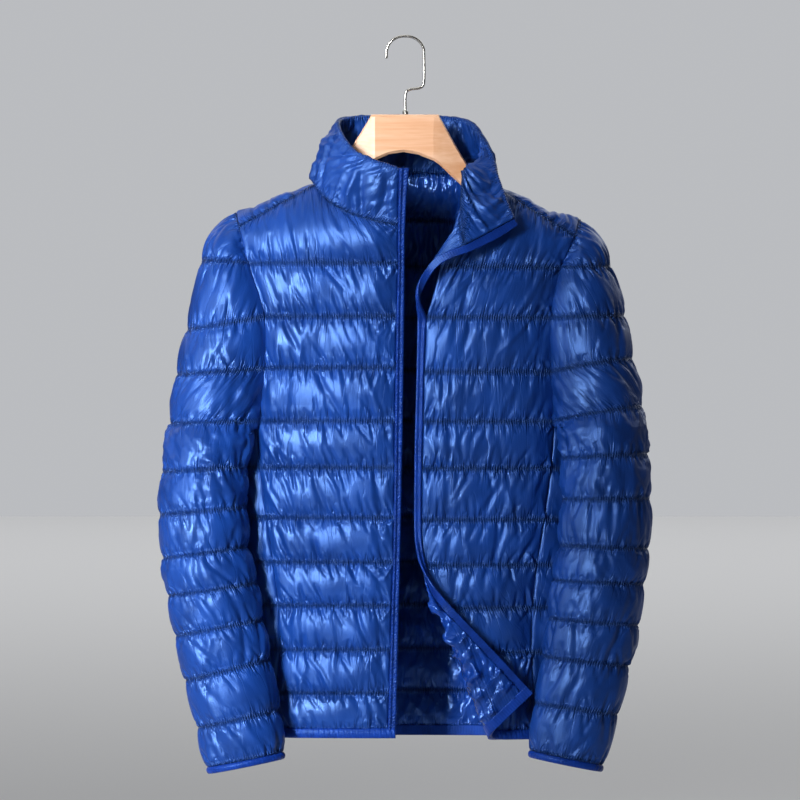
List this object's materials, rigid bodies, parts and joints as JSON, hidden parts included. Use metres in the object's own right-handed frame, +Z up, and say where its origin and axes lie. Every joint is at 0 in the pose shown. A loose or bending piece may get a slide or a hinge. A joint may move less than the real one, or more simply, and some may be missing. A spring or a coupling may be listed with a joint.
{
  "type": "quilted puffer jacket on a wooden coat hanger",
  "caption": "Blue quilted down jacket with a stand collar and open front zip, hanging on a wooden coat hanger with a wire hook.",
  "frame": {"origin": "inside top of the hanger's hook, where a rail carries it, above the middle of the jacket", "axes": "+Z up, -Y towards the viewer of the jacket's front, +X to the viewer's right, which is the wearer's left"},
  "size_m": [0.6062, 0.2045, 0.8972],
  "materials": {
    "shell": "glossy woven nylon over down",
    "lining": "very glossy thin nylon",
    "trim": "matt tape and elastic binding",
    "hanger_wood": "satin lacquered beech",
    "hook_steel": "bright nickel-plated wire"
  },
  "bodies": {
    "root": {"front_left": "shell", "front_right": "shell", "back": "shell", "sleeve_left": "shell", "sleeve_right": "shell", "collar": "shell", "facing_right": "shell", "zip_tape_left": "trim", "zip_tape_right": "trim", "hem_binding": "trim", "cuff_binding_left": "trim", "cuff_binding_right": "trim", "lining_back": "lining", "lining_corner": "lining", "hanger_body": "hanger_wood", "hanger_hook": "hook_steel", "hanger_ferrule": "hook_steel"}
  },
  "joints": []
}
